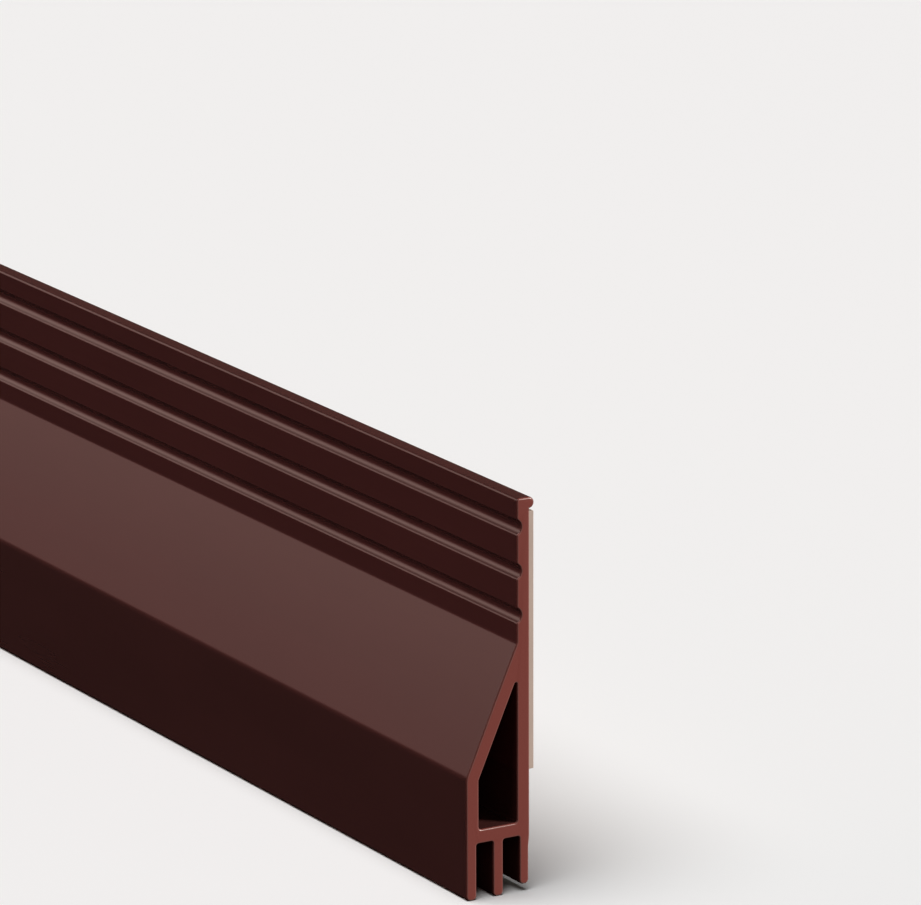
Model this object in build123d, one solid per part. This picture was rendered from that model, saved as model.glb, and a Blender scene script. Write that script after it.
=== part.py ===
from build123d import *
import math
import os

# Draught stopper: an extruded rubber strip and its mounting tape.
# The strip runs along X, its face looks to -Y and its mounting side to +Y.
# The section is drawn with x as minus the depth in front of the back face, and y
# as the height above the tips of the fins.
# The finished part has its origin in the middle of the tape's outer face.

# Strip, in millimetres
length = 1000.0
height = 50.0
depth = 9.0
web_thickness = 1.8
front_wall = 1.8
slope_wall = 1.8

# Slope between the web and the upright front, as heights above the fin tips
shoulder_height = 31.8
knee_height = 15.6

# Shelf between the air chamber and the fins
shelf_underside = 7.15
shelf_thickness = 1.8

# Three fins, evenly spaced from the front face to the back face
fin_count = 3
fin_thickness = 1.45
fin_gap = (depth - fin_count * fin_thickness) / (fin_count - 1)
back_fin_lift = 0.9
back_fin_setback = 0.13
setback_run = 1.6

# Grooves along the front of the web, evenly spaced between its top and the slope
groove_count = 3
groove_height = 1.9
groove_depth = 0.6
groove_head = 3.6
groove_foot = 3.5
first_groove = height - groove_head
groove_pitch = (first_groove - shoulder_height - groove_foot) / (groove_count - 1)

# Bead along the top of the mounting side
bead_height = 1.45

# Mounting tape, under the bead
tape_thickness = 0.65
tape_width = 32.8
tape_gap = 0.3

# Edge and corner rounding
top_round = 0.3
knee_round = 1.0
shoulder_round = 0.8
groove_lip_round = 0.3
chamber_round = 0.35
apex_round = 0.15
slot_round = 0.3
tip_round = 0.55

# Half the size of the window that picks a corner by its place
PICK = 0.001


def corners_at(shape, x=None, y=None):
    """The corners of a flat shape inside the given ranges of x and y."""
    found = shape.vertices()
    if x is not None:
        found = found.filter_by_position(Axis.X, x[0] - PICK, x[1] + PICK)
    if y is not None:
        found = found.filter_by_position(Axis.Y, y[0] - PICK, y[1] + PICK)
    return found


def silhouette():
    """The strip's outer shape, solid from the front face to the back face."""
    step = -fin_thickness - fin_gap / 2
    return Polygon(
        (0, height),
        (-web_thickness, height),
        (-web_thickness, shoulder_height),
        (-depth, knee_height),
        (-depth, 0),
        (step, 0),
        (step, back_fin_lift),
        (-back_fin_setback, back_fin_lift),
        (-back_fin_setback, shelf_underside - setback_run),
        (0, shelf_underside),
        align=None,
    )


def bead():
    """A half-round lip at the top of the back face, as proud as the tape is thick."""
    radius = bead_height / 2
    root = Polygon(
        (-web_thickness / 2, height),
        (-web_thickness / 2, height - bead_height),
        (tape_thickness - radius, height - bead_height),
        (tape_thickness - radius, height),
        align=None,
    )
    nose = Pos(tape_thickness - radius, height - radius) * Circle(radius)
    return root + nose


def chamber():
    """The air chamber, a wall inside the slope, the front, the back and the shelf."""
    run = depth - web_thickness
    rise = shoulder_height - knee_height
    drop = slope_wall * math.hypot(run, rise) / run
    floor = shelf_underside + shelf_thickness
    front = front_wall - depth
    apex = shoulder_height - drop
    inner_knee = apex - (depth - front_wall - web_thickness) * rise / run
    space = Polygon(
        (-web_thickness, apex),
        (front, inner_knee),
        (front, floor),
        (-web_thickness, floor),
        align=None,
    )
    space = fillet(corners_at(space, y=(floor, inner_knee)), chamber_round)
    return fillet(corners_at(space, y=(apex, apex)), apex_round)


def slots():
    """The spaces between the fins, with rounded roots."""
    spaces = []
    for number in range(fin_count - 1):
        front = -depth + fin_thickness + number * (fin_thickness + fin_gap)
        space = Polygon(
            (front, shelf_underside),
            (front, -fin_thickness),
            (front + fin_gap, -fin_thickness),
            (front + fin_gap, shelf_underside),
            align=None,
        )
        roots = corners_at(space, y=(shelf_underside, shelf_underside))
        spaces.append(fillet(roots, slot_round))
    return spaces


def grooves():
    """Circles that cut round-bottomed grooves into the front of the web."""
    radius = (groove_height**2 / 4 + groove_depth**2) / (2 * groove_depth)
    centre = -web_thickness + groove_depth - radius
    return [
        Pos(centre, first_groove - number * groove_pitch) * Circle(radius)
        for number in range(groove_count)
    ]


def section():
    """The strip's whole section, with its corners rounded."""
    shape = silhouette() + bead() - chamber() - slots() - grooves()

    web_front = (-web_thickness, -web_thickness)
    top_lip = first_groove + groove_height / 2
    bottom_lip = shoulder_height + groove_foot - groove_height / 2
    tips = corners_at(shape, y=(0, back_fin_lift))
    shape = fillet(tips, min(tip_round, 0.4 * fin_thickness))
    lips = corners_at(shape, x=web_front, y=(bottom_lip, top_lip))
    shape = fillet(lips, groove_lip_round)
    shape = fillet(corners_at(shape, x=web_front, y=(height, height)), top_round)
    knee = corners_at(shape, x=(-depth, -depth), y=(knee_height, knee_height))
    shape = fillet(knee, knee_round)
    shoulder = corners_at(shape, x=web_front, y=(shoulder_height, shoulder_height))
    return fillet(shoulder, shoulder_round)


def seal_profile():
    """The section run out to the strip's length, with both ends cut square."""
    return extrude(Plane.YZ * section(), length / 2, both=True)


def adhesive_tape():
    """Double-sided tape on the back face, from just under the bead downwards."""
    top = height - bead_height - tape_gap
    strip = Box(length, tape_thickness, tape_width)
    return Pos(0, tape_thickness / 2, top - tape_width / 2) * strip


# The origin goes to the middle of the tape's outer face
tape_middle = height - bead_height - tape_gap - tape_width / 2
to_frame = Pos(0, -tape_thickness, -tape_middle)

os.makedirs("parts", exist_ok=True)
export_step(to_frame * seal_profile(), "parts/seal_profile.step")
export_step(to_frame * adhesive_tape(), "parts/adhesive_tape.step")
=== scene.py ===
import math

import bpy
from mathutils import Matrix, Vector
from mathutils.geometry import tessellate_polygon


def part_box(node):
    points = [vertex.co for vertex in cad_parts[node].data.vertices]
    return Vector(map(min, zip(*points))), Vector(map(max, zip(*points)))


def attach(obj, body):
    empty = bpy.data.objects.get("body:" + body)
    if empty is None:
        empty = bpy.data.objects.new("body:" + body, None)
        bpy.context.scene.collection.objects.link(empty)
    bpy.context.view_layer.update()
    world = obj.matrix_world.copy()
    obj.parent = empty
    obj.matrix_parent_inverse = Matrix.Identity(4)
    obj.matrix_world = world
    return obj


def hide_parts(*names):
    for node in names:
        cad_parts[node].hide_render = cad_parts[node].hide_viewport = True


# Looks of a draught stopper: an extruded rubber strip and its mounting tape.
# Lengths are in metres. Sizes of the section are written in millimetres times MM.
MM = 0.001

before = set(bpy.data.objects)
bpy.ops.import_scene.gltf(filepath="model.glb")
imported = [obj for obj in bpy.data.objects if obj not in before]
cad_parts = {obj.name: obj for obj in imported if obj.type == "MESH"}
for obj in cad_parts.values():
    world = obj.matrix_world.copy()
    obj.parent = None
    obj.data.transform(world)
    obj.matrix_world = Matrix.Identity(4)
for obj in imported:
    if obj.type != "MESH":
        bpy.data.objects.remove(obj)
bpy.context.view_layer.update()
STRIP_LOW, STRIP_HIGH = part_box("seal_profile")
TAPE_LOW, TAPE_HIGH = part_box("adhesive_tape")

# The section, with x as minus the depth in front of the back face and y as the
# height above the tips of the fins
LENGTH = STRIP_HIGH.x - STRIP_LOW.x
HEIGHT = STRIP_HIGH.z - STRIP_LOW.z
BACK_FACE = TAPE_LOW.y
DEPTH = BACK_FACE - STRIP_LOW.y
WEB = 1.8 * MM
FRONT_WALL = 1.8 * MM
SLOPE_WALL = 1.8 * MM
SHOULDER = 31.8 * MM
KNEE = 15.6 * MM
SHELF_UNDERSIDE = 7.15 * MM
SHELF = 1.8 * MM

# Fins
FIN_COUNT = 3
FIN = 1.45 * MM
FIN_GAP = (DEPTH - FIN_COUNT * FIN) / (FIN_COUNT - 1)
BACK_FIN_LIFT = 0.9 * MM
BACK_FIN_SETBACK = 0.13 * MM
SETBACK_RUN = 1.6 * MM

# Grooves, evenly spaced between a margin under the top and one over the shoulder
GROOVE_COUNT = 3
GROOVE_HEIGHT = 1.9 * MM
GROOVE_DEPTH = 0.6 * MM
GROOVE_HEAD = 3.6 * MM
GROOVE_FOOT = 3.5 * MM
FIRST_GROOVE = HEIGHT - GROOVE_HEAD
LAST_GROOVE = SHOULDER + GROOVE_FOOT
GROOVE_PITCH = (FIRST_GROOVE - LAST_GROOVE) / (GROOVE_COUNT - 1)

# Bead, half round, and how far it stands out behind the back face
BEAD_HEIGHT = 1.45 * MM
BEAD_RADIUS = BEAD_HEIGHT / 2
BEAD_REACH = STRIP_HIGH.y - BACK_FACE

# Corner rounding of the section and of the edges round the two cut ends, and the
# least that any corner gets
TOP_ROUND = 0.38 * MM
KNEE_ROUND = 2.3 * MM
SHOULDER_ROUND = 0.9 * MM
LIP_ROUND = 0.34 * MM
CHAMBER_ROUND = 0.35 * MM
APEX_ROUND = 0.15 * MM
SLOT_ROUND = 0.3 * MM
TIP_ROUND = 0.55 * MM
END_ROUND = 0.25 * MM
SMALLEST_ROUND = 0.02 * MM

# How far the slope bulges at its middle, as an extruded wall over a hollow does
SLOPE_CROWN = 0.045 * MM

# Mounting tape, in the same axes as the section: its slit edges, and its cut ends,
# which the soft foam draws back a little
TAPE_THICKNESS = TAPE_HIGH.y - TAPE_LOW.y
TAPE_FOOT = TAPE_LOW.z - STRIP_LOW.z
TAPE_HEAD = TAPE_HIGH.z - STRIP_LOW.z
TAPE_EDGE_ROUND = 0.09 * MM
TAPE_END_ROUND = 0.05 * MM
TAPE_RECESS = 0.18 * MM

# Waver of the slit edges: how far they draw in at most, its waves, each with its
# radians per metre and its share, and where the waves of the two edges start
TAPE_WAVER = 0.07 * MM
WAVES = ((31.0, 0.5), (73.0, 0.3), (151.0, 0.2))
FOOT_START = 1.0
HEAD_START = 2.0

# How finely the mesh is divided
ARC_STEPS = 10
GROOVE_STEPS = 24
BEAD_STEPS = 28
SLOPE_STEPS = 12
END_STEPS = 8
STRIP_STEPS = 40
TAPE_STEPS = 360

# Weight of large faces in the shading of shared corners: 50 is neutral, 100 the most
FLAT_FACE_WEIGHT = 100

# Camera, as read from the photograph: its direction, and a corner of the strip
# with the pixel that it falls on and its distance along the line of sight
IMAGE_WIDTH = 921
IMAGE_HEIGHT = 905
FOCAL_PIXELS = 6926.5
VIEW_AZIMUTH = math.radians(30.505)
VIEW_DOWN = math.radians(15.024)
VIEW_ROLL = math.radians(0.171)
CORNER = Vector((STRIP_HIGH.x, BACK_FACE, STRIP_HIGH.z))
CORNER_PIXEL = (529.7, 497.0)
CORNER_DISTANCE = 0.8371
SENSOR_WIDTH = 36.0
CLIP_START = 0.01
CLIP_END = 100.0


def add_object(name, data):
    """An object with the given data, put into the scene."""
    obj = bpy.data.objects.new(name, data)
    bpy.context.scene.collection.objects.link(obj)
    return obj


# Section


def left_of(direction):
    """A direction turned a quarter anticlockwise."""
    return Vector((-direction.y, direction.x))


def sides_at(corners, i):
    """The directions of the sides before and after a corner, and the turn between them."""
    here = corners[i][0]
    before = (here - corners[i - 1][0]).normalized()
    after = (corners[(i + 1) % len(corners)][0] - here).normalized()
    return before, after, -before.angle_signed(after)


def inset_corners(corners, inset):
    """A closed outline's corners and their radii, with its sides moved inwards by inset."""
    moved = []
    for i, (here, radius) in enumerate(corners):
        before, after, turn = sides_at(corners, i)
        inwards = left_of(before) + left_of(after)
        corner = here + inwards * inset / (1 + before.dot(after))
        inset_radius = radius - inset * math.copysign(1, turn)
        moved.append((corner, max(inset_radius, SMALLEST_ROUND)))
    return moved


def arc(centre, radius, start, sweep, steps):
    """Points along an arc, its angles in radians."""
    angles = [start + sweep * i / steps for i in range(steps + 1)]
    return [centre + radius * Vector((math.cos(a), math.sin(a))) for a in angles]


def corner_arc(corners, i):
    """The arc that rounds one corner of a closed outline."""
    corner, radius = corners[i]
    before, _, turn = sides_at(corners, i)
    tangent = abs(radius * math.tan(turn / 2))
    side = math.copysign(1, turn)
    centre = corner - before * tangent + left_of(before) * radius * side
    start = math.atan2(before.y, before.x) - side * math.pi / 2
    return arc(centre, radius, start, turn, ARC_STEPS)


def rounded_outline(corners):
    """The points of a closed outline with all its corners rounded."""
    points = []
    for i in range(len(corners)):
        points += corner_arc(corners, i)
    return points


def crowned_side(start, stop):
    """Points between two corners along a side that bulges outwards as a shallow parabola."""
    along = stop - start
    crown = -left_of(along).normalized() * SLOPE_CROWN
    shares = [i / SLOPE_STEPS for i in range(1, SLOPE_STEPS)]
    return [start + along * t + crown * 4 * t * (1 - t) for t in shares]


def groove_points(height, inset):
    """One groove down the front of the web: a lip, the round bottom, and the other lip."""
    radius = (GROOVE_HEIGHT**2 / 4 + GROOVE_DEPTH**2) / (2 * GROOVE_DEPTH)
    centre = Vector((-WEB + GROOVE_DEPTH - radius, height))
    radius += inset
    lip = max(LIP_ROUND - inset, SMALLEST_ROUND)
    lip_x = -WEB + inset + lip
    rise = math.sqrt((radius + lip) ** 2 - (lip_x - centre.x) ** 2)
    angle = math.atan2(rise, lip_x - centre.x)
    upper = Vector((lip_x, height + rise))
    lower = Vector((lip_x, height - rise))
    points = arc(upper, lip, math.pi, angle, ARC_STEPS)
    points += arc(centre, radius, angle, -2 * angle, GROOVE_STEPS)[1:-1]
    return points + arc(lower, lip, math.pi - angle, angle, ARC_STEPS)


def bead_points(inset):
    """The half-round bead, from the back face round to the top."""
    centre = Vector((BEAD_REACH - BEAD_RADIUS, HEIGHT - BEAD_RADIUS))
    radius = BEAD_RADIUS - inset
    across = -inset - centre.x
    start = -math.acos(across / radius)
    return arc(centre, radius, start, math.pi / 2 - start, BEAD_STEPS)


# Places in the strip's list of corners: the one that the grooves follow, and the
# one at the foot of the slope
TOP_CORNER = 1
KNEE_CORNER = 3


def strip_corners():
    """Corners and radii of the strip's outline, anticlockwise from the top of the back."""
    corners = [
        ((0, HEIGHT), 0),
        ((-WEB, HEIGHT), TOP_ROUND),
        ((-WEB, SHOULDER), SHOULDER_ROUND),
        ((-DEPTH, KNEE), KNEE_ROUND),
    ]
    for number in range(FIN_COUNT):
        front = -DEPTH + number * (FIN + FIN_GAP)
        last = number == FIN_COUNT - 1
        tip = BACK_FIN_LIFT if last else 0
        back = -BACK_FIN_SETBACK if last else front + FIN
        if number:
            corners.append(((front, SHELF_UNDERSIDE), SLOT_ROUND))
        corners.append(((front, tip), TIP_ROUND))
        corners.append(((back, tip), TIP_ROUND))
        if not last:
            corners.append(((back, SHELF_UNDERSIDE), SLOT_ROUND))
    corners.append(((-BACK_FIN_SETBACK, SHELF_UNDERSIDE - SETBACK_RUN), SMALLEST_ROUND))
    corners.append(((0, SHELF_UNDERSIDE), SMALLEST_ROUND))
    return [(Vector(place), radius) for place, radius in corners]


def strip_outline(inset):
    """The strip's outline, drawn in by inset. It has as many points for any inset."""
    corners = inset_corners(strip_corners(), inset)
    points = bead_points(inset)
    for i in range(1, len(corners)):
        rounding = corner_arc(corners, i)
        if i == KNEE_CORNER:
            points += crowned_side(points[-1], rounding[0])
        points += rounding
        if i == TOP_CORNER:
            for number in range(GROOVE_COUNT):
                points += groove_points(FIRST_GROOVE - number * GROOVE_PITCH, inset)
    return points


def chamber_outline(inset):
    """The air chamber's outline, opened out by inset, clockwise."""
    run = DEPTH - WEB
    rise = SHOULDER - KNEE
    floor = SHELF_UNDERSIDE + SHELF
    apex = SHOULDER - SLOPE_WALL * math.hypot(run, rise) / run
    inner_knee = apex - (DEPTH - FRONT_WALL - WEB) * rise / run
    corners = [
        (Vector((-WEB, apex)), APEX_ROUND),
        (Vector((FRONT_WALL - DEPTH, inner_knee)), CHAMBER_ROUND),
        (Vector((FRONT_WALL - DEPTH, floor)), CHAMBER_ROUND),
        (Vector((-WEB, floor)), CHAMBER_ROUND),
    ]
    return rounded_outline(inset_corners(corners, -inset))[::-1]


# Meshes


def stations(low, high, rounding, steps):
    """Places along X with the section's inset at each: rounded ends, even steps between."""
    angles = [math.pi / 2 * i / END_STEPS for i in range(END_STEPS, -1, -1)]
    end = [(rounding * (1 - math.sin(a)), rounding * (1 - math.cos(a))) for a in angles]
    near = [(low + reach, inset) for reach, inset in end]
    far = [(high - reach, inset) for reach, inset in reversed(end)]
    start, stop = near[-1][0], far[0][0]
    middle = [(start + (stop - start) * i / steps, 0.0) for i in range(1, steps)]
    return near + middle + far


def run_along(vertices, faces, rings):
    """Adds the walls through outlines along X. Returns the vertex numbers of both ends."""
    first = len(vertices)
    count = len(rings[0][1])
    for x, outline in rings:
        vertices += [(x, p.x + BACK_FACE, p.y + STRIP_LOW.z) for p in outline]
    for ring in range(len(rings) - 1):
        here = first + ring * count
        for i in range(count):
            j = (i + 1) % count
            faces.append((here + i, here + j, here + count + j, here + count + i))
    last = first + (len(rings) - 1) * count
    return range(first, first + count), range(last, last + count)


def cap(vertices, faces, loops, outward):
    """Closes an end, whose first loop is its outline and the others its holes."""
    numbers = [n for loop in loops for n in loop]
    triangles = tessellate_polygon([[Vector(vertices[n]) for n in loop] for loop in loops])
    for triangle in triangles:
        a, b, c = (Vector(vertices[numbers[i]]) for i in triangle)
        facing = (b - a).cross(c - a).x * outward > 0
        ordered = triangle if facing else triangle[::-1]
        faces.append(tuple(numbers[i] for i in ordered))


def mesh_object(name, vertices, faces):
    """A smooth-shaded mesh whose flat faces stay flat beside its rounded edges."""
    mesh = bpy.data.meshes.new(name)
    mesh.from_pydata([tuple(v) for v in vertices], [], faces)
    mesh.validate()
    mesh.polygons.foreach_set("use_smooth", [True] * len(mesh.polygons))
    obj = add_object(name, mesh)
    weighted = obj.modifiers.new("flat_faces", "WEIGHTED_NORMAL")
    weighted.weight = FLAT_FACE_WEIGHT
    return obj


def build_strip():
    """The rubber strip, hollow, with its cut ends' edges worn round."""
    vertices, faces = [], []
    places = stations(STRIP_LOW.x, STRIP_HIGH.x, END_ROUND, STRIP_STEPS)
    outer = run_along(vertices, faces, [(x, strip_outline(inset)) for x, inset in places])
    inner = run_along(vertices, faces, [(x, chamber_outline(inset)) for x, inset in places])
    cap(vertices, faces, (outer[0], inner[0]), -1)
    cap(vertices, faces, (outer[1], inner[1]), 1)
    return mesh_object("rubber_strip", vertices, faces)


def drawn_in(x, start):
    """How far a slit edge of the tape is drawn in at a place along X."""
    waver = sum(share * math.sin(x * rate + start * rate) for rate, share in WAVES)
    return TAPE_WAVER * (1 + waver) / 2


def tape_outline(x, inset):
    """The tape's section, its slit edges softened and a little uneven along X."""
    low = TAPE_FOOT + drawn_in(x, FOOT_START) + inset
    high = TAPE_HEAD - drawn_in(x, HEAD_START) - inset
    return rounded_outline([
        (Vector((TAPE_THICKNESS - inset, low)), TAPE_EDGE_ROUND),
        (Vector((TAPE_THICKNESS - inset, high)), TAPE_EDGE_ROUND),
        (Vector((0, high)), SMALLEST_ROUND),
        (Vector((0, low)), SMALLEST_ROUND),
    ])


def build_tape():
    """The mounting tape on the back of the strip."""
    vertices, faces = [], []
    low, high = TAPE_LOW.x + TAPE_RECESS, TAPE_HIGH.x - TAPE_RECESS
    places = stations(low, high, TAPE_END_ROUND, TAPE_STEPS)
    ends = run_along(vertices, faces, [(x, tape_outline(x, inset)) for x, inset in places])
    cap(vertices, faces, ends[:1], -1)
    cap(vertices, faces, ends[1:], 1)
    return mesh_object("foam_tape", vertices, faces)


# Materials

# The range in which nearly all values of a noise lie
NOISE_RANGE = (0.3, 0.7)


class Nodes:
    """Adds nodes to a node tree and links them by socket."""

    def __init__(self, tree):
        self.tree = tree

    def add(self, kind, **values):
        """A new node with its settings."""
        node = self.tree.nodes.new(kind)
        for key, value in values.items():
            setattr(node, key, value)
        return node

    def put(self, value, target):
        """Links a socket to the target, or sets the target to a number or a colour."""
        if isinstance(value, bpy.types.NodeSocket):
            self.tree.links.new(value, target)
        elif isinstance(value, tuple):
            target.default_value = (*value, 1.0)
        else:
            target.default_value = value

    def parts(self, vector):
        """The X, Y and Z sockets of a vector."""
        node = self.add("ShaderNodeSeparateXYZ")
        self.put(vector, node.inputs["Vector"])
        return node.outputs

    def noise(self, coordinates, scale, shares, detail):
        """Noise of a given scale, drawn out along an axis whose share of it is under 1."""
        mapping = self.add("ShaderNodeMapping")
        mapping.inputs["Scale"].default_value = shares
        self.put(coordinates, mapping.inputs["Vector"])
        noise = self.add("ShaderNodeTexNoise")
        self.put(scale, noise.inputs["Scale"])
        self.put(detail, noise.inputs["Detail"])
        self.put(mapping.outputs["Vector"], noise.inputs["Vector"])
        return noise.outputs["Fac"]

    def ramp(self, value, low, high, start=0.0, end=1.0):
        """Takes a value from low..high to start..end, smoothly and clamped."""
        node = self.add("ShaderNodeMapRange", interpolation_type="SMOOTHSTEP")
        self.put(low, node.inputs["From Min"])
        self.put(high, node.inputs["From Max"])
        self.put(start, node.inputs["To Min"])
        self.put(end, node.inputs["To Max"])
        self.put(value, node.inputs["Value"])
        return node.outputs["Result"]

    def mix(self, kind, factor, first, second):
        """A number or a colour between two, as the kind says: FLOAT or RGBA."""
        node = self.add("ShaderNodeMix", data_type=kind)
        self.put(factor, node.inputs["Factor"])
        self.put(first, node.inputs["A"])
        self.put(second, node.inputs["B"])
        return node.outputs["Result"]

    def shade(self, colour, amount):
        """A colour multiplied by an amount."""
        node = self.add("ShaderNodeVectorMath", operation="SCALE")
        self.put(colour, node.inputs[0])
        self.put(amount, node.inputs["Scale"])
        return node.outputs["Vector"]

    def product(self, first, second):
        """Two numbers multiplied."""
        node = self.add("ShaderNodeMath", operation="MULTIPLY")
        self.put(first, node.inputs[0])
        self.put(second, node.inputs[1])
        return node.outputs["Value"]

    def unsigned(self, value):
        """A number without its sign."""
        node = self.add("ShaderNodeMath", operation="ABSOLUTE")
        self.put(value, node.inputs[0])
        return node.outputs["Value"]

    def bump(self, height, strength, distance):
        """The shading normal of a relief."""
        node = self.add("ShaderNodeBump")
        self.put(height, node.inputs["Height"])
        self.put(strength, node.inputs["Strength"])
        self.put(distance, node.inputs["Distance"])
        return node.outputs["Normal"]


def new_material(name):
    """A new material, the helper for its nodes, and its shader."""
    material = bpy.data.materials.new(name)
    material.use_nodes = True
    nodes = Nodes(material.node_tree)
    return material, nodes, material.node_tree.nodes["Principled BSDF"]


# Colours of the skin above and below the knee, the one below painted darker as painted shade
# for the dimmer light on the front wall, the height over which they blend, and how much darker
# its darkest patches are
WEB_SKIN = (0.106, 0.0320, 0.0305)
WALL_SKIN_PAINTED_SHADE = (0.079, 0.0280, 0.0265)
SKIN_BLEND = 0.4 * MM
SKIN_DIP = 0.96

# Colours of the cut ends, paler than the skin partly of their own and partly as painted light,
# and of the painted highlight along the rim where their edges begin to turn
CUT_DARK = (0.238, 0.062, 0.053)
CUT_LIGHT = (0.255, 0.068, 0.057)
PAINTED_EDGE_HIGHLIGHT = (0.290, 0.125, 0.115)

# How far from the end the cut's full colour reaches. The painted highlight along the rim is
# placed by the X part of the surface's direction: it comes in over the first range and goes out
# over the second.
CUT_FULL = END_ROUND / 3
PAINTED_HIGHLIGHT_OUTER = (0.75, 0.92)
PAINTED_HIGHLIGHT_INNER = (0.97, 0.998)

# Gloss of the skin and of the cut
SKIN_ROUGHNESS = (0.20, 0.25)
CUT_ROUGHNESS = (0.30, 0.34)
SKIN_SPECULAR = 0.5
CUT_SPECULAR = 0.8

# Relief of the cut: its strength and its depth
CUT_RELIEF = 0.05
CUT_RELIEF_DEPTH = 0.01 * MM

# Noises, each with its scale, the share of it along X, Y and Z, and its detail:
# streaks drawn out along the strip, soft patches, fine grain, and marks up and down
# the cut ends
STREAKS = (1400.0, (0.004, 1.0, 1.0), 4.0)
PATCHES = (90.0, (0.35, 1.0, 1.0), 3.0)
GRAIN = (5200.0, (1.0, 1.0, 1.0), 2.0)
CUT_MARKS = (2600.0, (1.0, 1.0, 0.08), 3.0)


def rubber_material():
    """Dark extruded skin, painted darker below the knee as painted shade; paler, duller rubber
    at the cut ends, paler partly of its own and partly as painted light; and a painted highlight
    along their rims.
    """
    material, n, shader = new_material("extruded_rubber")
    place = n.add("ShaderNodeTexCoord").outputs["Object"]
    x, _, z = n.parts(place)
    end = LENGTH / 2
    cut = n.ramp(n.unsigned(x), end - END_ROUND, end - CUT_FULL)

    streaks = n.noise(place, *STREAKS)
    patches = n.noise(place, *PATCHES)
    grain = n.noise(place, *GRAIN)
    marks = n.noise(place, *CUT_MARKS)

    # Painted shade: the skin below the knee is painted darker for the dimmer light on the front
    # wall
    knee = STRIP_LOW.z + KNEE
    above_knee = n.ramp(z, knee - SKIN_BLEND, knee + SKIN_BLEND)
    skin = n.mix("RGBA", above_knee, WALL_SKIN_PAINTED_SHADE, WEB_SKIN)
    skin = n.shade(skin, n.ramp(patches, *NOISE_RANGE, SKIN_DIP, 2 - SKIN_DIP))
    # The cut ends' colour: paler than the skin, partly their own colour and partly painted light
    face = n.mix("RGBA", n.ramp(grain, *NOISE_RANGE), CUT_DARK, CUT_LIGHT)
    # Painted highlight: a paler colour along the rims of the cut ends, where their edges begin
    # to turn
    normal = n.add("ShaderNodeNewGeometry").outputs["Normal"]
    along = n.unsigned(n.parts(normal)["X"])
    painted_highlight = n.product(n.ramp(along, *PAINTED_HIGHLIGHT_OUTER), n.ramp(along, *PAINTED_HIGHLIGHT_INNER, 1.0, 0.0))
    colour = n.mix("RGBA", cut, skin, n.mix("RGBA", painted_highlight, face, PAINTED_EDGE_HIGHLIGHT))
    n.put(colour, shader.inputs["Base Color"])

    skin_roughness = n.ramp(streaks, *NOISE_RANGE, *SKIN_ROUGHNESS)
    cut_roughness = n.ramp(grain, *NOISE_RANGE, *CUT_ROUGHNESS)
    n.put(n.mix("FLOAT", cut, skin_roughness, cut_roughness), shader.inputs["Roughness"])
    specular = n.ramp(cut, 0.0, 1.0, SKIN_SPECULAR, CUT_SPECULAR)
    n.put(specular, shader.inputs["Specular IOR Level"])

    relief = n.mix("FLOAT", cut, streaks, marks)
    strength = n.ramp(cut, 0.0, 1.0, 0.0, CUT_RELIEF)
    n.put(n.bump(relief, strength, CUT_RELIEF_DEPTH), shader.inputs["Normal"])
    return material


# Foam tape: its colours, its roughness, its relief's strength and depth, and its
# noises, soft clouds and fine cells
TAPE_DARK = (0.575, 0.477, 0.43)
TAPE_LIGHT = (0.655, 0.546, 0.49)
TAPE_ROUGHNESS = (0.38, 0.55)
TAPE_RELIEF = 0.35
TAPE_RELIEF_DEPTH = 0.02 * MM
CLOUDS = (60.0, (0.6, 1.0, 1.0), 4.0)
CELLS = (3200.0, (1.0, 1.0, 1.0), 2.0)


def tape_material():
    """Acrylic foam tape: a slightly uneven taupe with a soft, tacky gloss."""
    material, n, shader = new_material("foam_tape")
    place = n.add("ShaderNodeTexCoord").outputs["Object"]
    clouds = n.noise(place, *CLOUDS)
    cells = n.noise(place, *CELLS)
    tint = n.mix("RGBA", n.ramp(clouds, *NOISE_RANGE), TAPE_DARK, TAPE_LIGHT)
    n.put(tint, shader.inputs["Base Color"])
    n.put(n.ramp(cells, *NOISE_RANGE, *TAPE_ROUGHNESS), shader.inputs["Roughness"])
    n.put(n.bump(cells, TAPE_RELIEF, TAPE_RELIEF_DEPTH), shader.inputs["Normal"])
    return material


# Floor, world and lamps

FLOOR_SIZE = 60.0
FLOOR_DARK = (0.015, 0.015, 0.015)
FLOOR_PALE = (0.92, 0.92, 0.92)


def floor_material():
    """Pale to the camera, with the strip's shadow on it, and dark to the strip itself."""
    material, n, shader = new_material("pale_floor")
    n.tree.nodes.remove(shader)
    dark = n.add("ShaderNodeBsdfDiffuse")
    n.put(FLOOR_DARK, dark.inputs["Color"])
    pale = n.add("ShaderNodeBsdfDiffuse")
    n.put(FLOOR_PALE, pale.inputs["Color"])
    path = n.add("ShaderNodeLightPath")
    seen = n.add("ShaderNodeMixShader")
    n.put(path.outputs["Is Camera Ray"], seen.inputs[0])
    n.put(dark.outputs["BSDF"], seen.inputs[1])
    n.put(pale.outputs["BSDF"], seen.inputs[2])
    output = n.tree.nodes["Material Output"]
    n.put(seen.outputs["Shader"], output.inputs["Surface"])
    return material


def build_floor():
    """A level floor at the tips of the fins."""
    half = FLOOR_SIZE / 2
    corners = [(-half, -half), (half, -half), (half, half), (-half, half)]
    mesh = bpy.data.meshes.new("floor")
    mesh.from_pydata([(x, y, STRIP_LOW.z) for x, y in corners], [], [(0, 1, 2, 3)])
    mesh.materials.append(floor_material())
    return add_object("floor", mesh)


# The dark sky, near the horizon and overhead, and the upward share of a direction
# between which its colour changes
SKY_LOW = (0.035, 0.037, 0.030)
SKY_HIGH = (0.05, 0.05, 0.05)
SKY_CHANGE = (0.45, 0.85)

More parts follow.
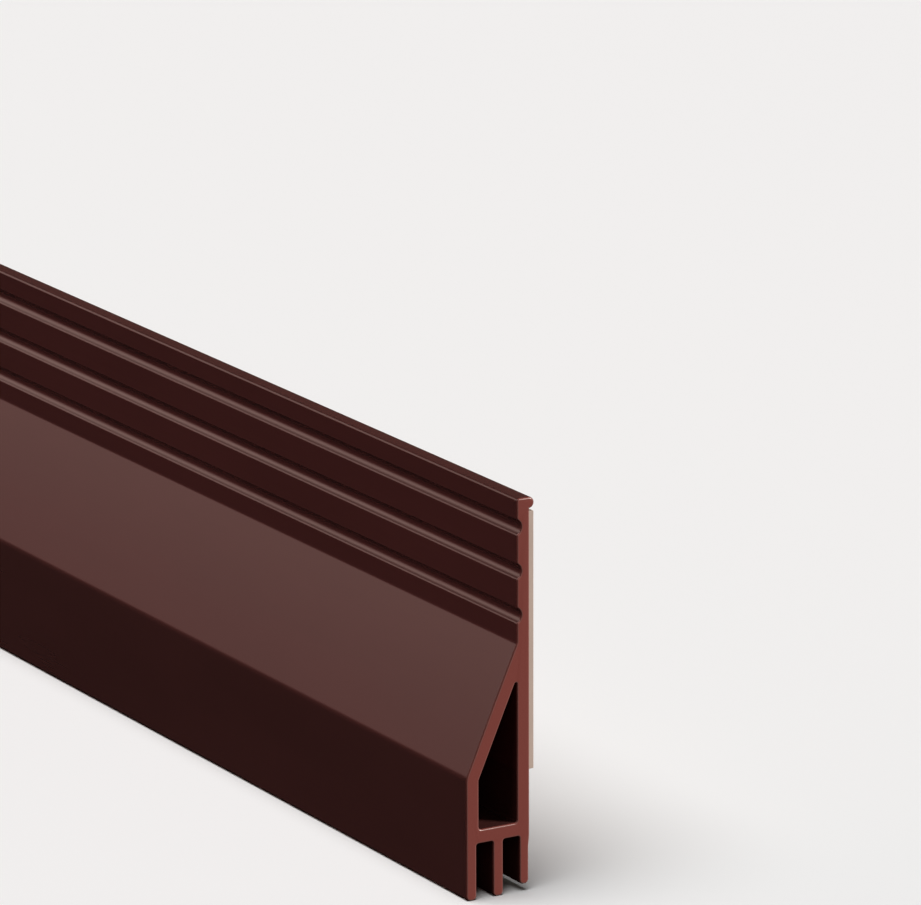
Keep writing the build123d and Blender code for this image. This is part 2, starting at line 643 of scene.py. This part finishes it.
# The warm panel, at its foot and further up, and where its colour changes
PANEL_LOW = (0.56, 0.27, 0.25)
PANEL_HIGH = (1.66, 1.17, 1.03)
PANEL_CHANGE = (0.10, 0.30)

# The panel's soft edges, as shares of a direction along X, Y and Z
PANEL_RIGHT = (-0.55, -0.15)
PANEL_BACK = (-0.12, 0.06)
PANEL_FOOT = (0.02, 0.10)
PANEL_TOP = (0.40, 0.55)


def build_world():
    """Pale to the camera. Round the strip a dark sky, with a warm panel in front on the left."""
    world = bpy.data.worlds.new("studio")
    bpy.context.scene.world = world
    world.use_nodes = True
    n = Nodes(world.node_tree)
    x, y, z = n.parts(n.add("ShaderNodeTexCoord").outputs["Generated"])
    sky = n.mix("RGBA", n.ramp(z, *SKY_CHANGE), SKY_LOW, SKY_HIGH)
    panel = n.mix("RGBA", n.ramp(z, *PANEL_CHANGE), PANEL_LOW, PANEL_HIGH)
    in_front = n.ramp(y, *PANEL_BACK, 1.0, 0.0)
    on_the_left = n.ramp(x, *PANEL_RIGHT, 1.0, 0.0)
    above_foot = n.ramp(z, *PANEL_FOOT)
    below_top = n.ramp(z, *PANEL_TOP, 1.0, 0.0)
    inside = n.product(n.product(in_front, on_the_left), n.product(above_foot, below_top))
    lit = n.mix("RGBA", inside, sky, panel)
    path = n.add("ShaderNodeLightPath")
    seen = n.mix("RGBA", path.outputs["Is Camera Ray"], lit, FLOOR_PALE)
    n.put(seen, world.node_tree.nodes["Background"].inputs["Color"])


# Lamps, each with the direction towards it, its strength, its width in degrees and
# its colour
KEY = ((0.60, 0.67, 0.36), 3.5, 18, (1.0, 0.9, 0.82))
FILL = ((-0.1, -0.62, 0.78), 0.92, 40, (1.0, 0.86, 0.82))
OVERHEAD = ((0.0, -0.25, 1.0), 2.75, 50, (1.0, 1.0, 1.0))


def add_sun(name, receivers, towards, strength, width, colour):
    """A soft lamp, far away, that lights only its receivers."""
    data = bpy.data.lights.new(name, "SUN")
    data.energy = strength
    data.color = colour
    data.angle = math.radians(width)
    lamp = add_object(name, data)
    lamp.rotation_mode = "QUATERNION"
    lamp.rotation_quaternion = Vector(towards).to_track_quat("Z", "Y")
    lit = bpy.data.collections.new(name + "_lights")
    for obj in receivers:
        lit.objects.link(obj)
    lamp.light_linking.receiver_collection = lit


# Camera


def build_camera():
    """The photograph's view: its direction, and the corner on its pixel at its distance."""
    level = math.cos(VIEW_DOWN)
    forward = Vector((
        -math.cos(VIEW_AZIMUTH) * level,
        math.sin(VIEW_AZIMUTH) * level,
        -math.sin(VIEW_DOWN),
    ))
    right = forward.cross(Vector((0, 0, 1))).normalized()
    down = forward.cross(right)
    kept, rolled = math.cos(VIEW_ROLL), math.sin(VIEW_ROLL)
    right, down = kept * right + rolled * down, -rolled * right + kept * down
    across = (CORNER_PIXEL[0] - IMAGE_WIDTH / 2) / FOCAL_PIXELS
    below = (CORNER_PIXEL[1] - IMAGE_HEIGHT / 2) / FOCAL_PIXELS
    place = CORNER - CORNER_DISTANCE * (forward + across * right + below * down)
    data = bpy.data.cameras.new("camera")
    data.sensor_width = SENSOR_WIDTH
    data.lens = FOCAL_PIXELS * SENSOR_WIDTH / IMAGE_WIDTH
    data.clip_start = CLIP_START
    data.clip_end = CLIP_END
    camera = add_object("camera", data)
    turn = Matrix((right, -down, -forward)).transposed()
    camera.matrix_world = Matrix.Translation(place) @ turn.to_4x4()
    bpy.context.scene.camera = camera


build_camera()

strip = build_strip()
strip.data.materials.append(rubber_material())
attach(strip, "root")
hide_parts("seal_profile")

tape = build_tape()
tape.data.materials.append(tape_material())
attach(tape, "root")
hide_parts("adhesive_tape")

floor = build_floor()
build_world()
add_sun("key", (strip, tape), *KEY)
add_sun("fill", (strip, tape), *FILL)
add_sun("overhead", (floor,), *OVERHEAD)

bpy.context.scene.view_settings.view_transform = "Standard"
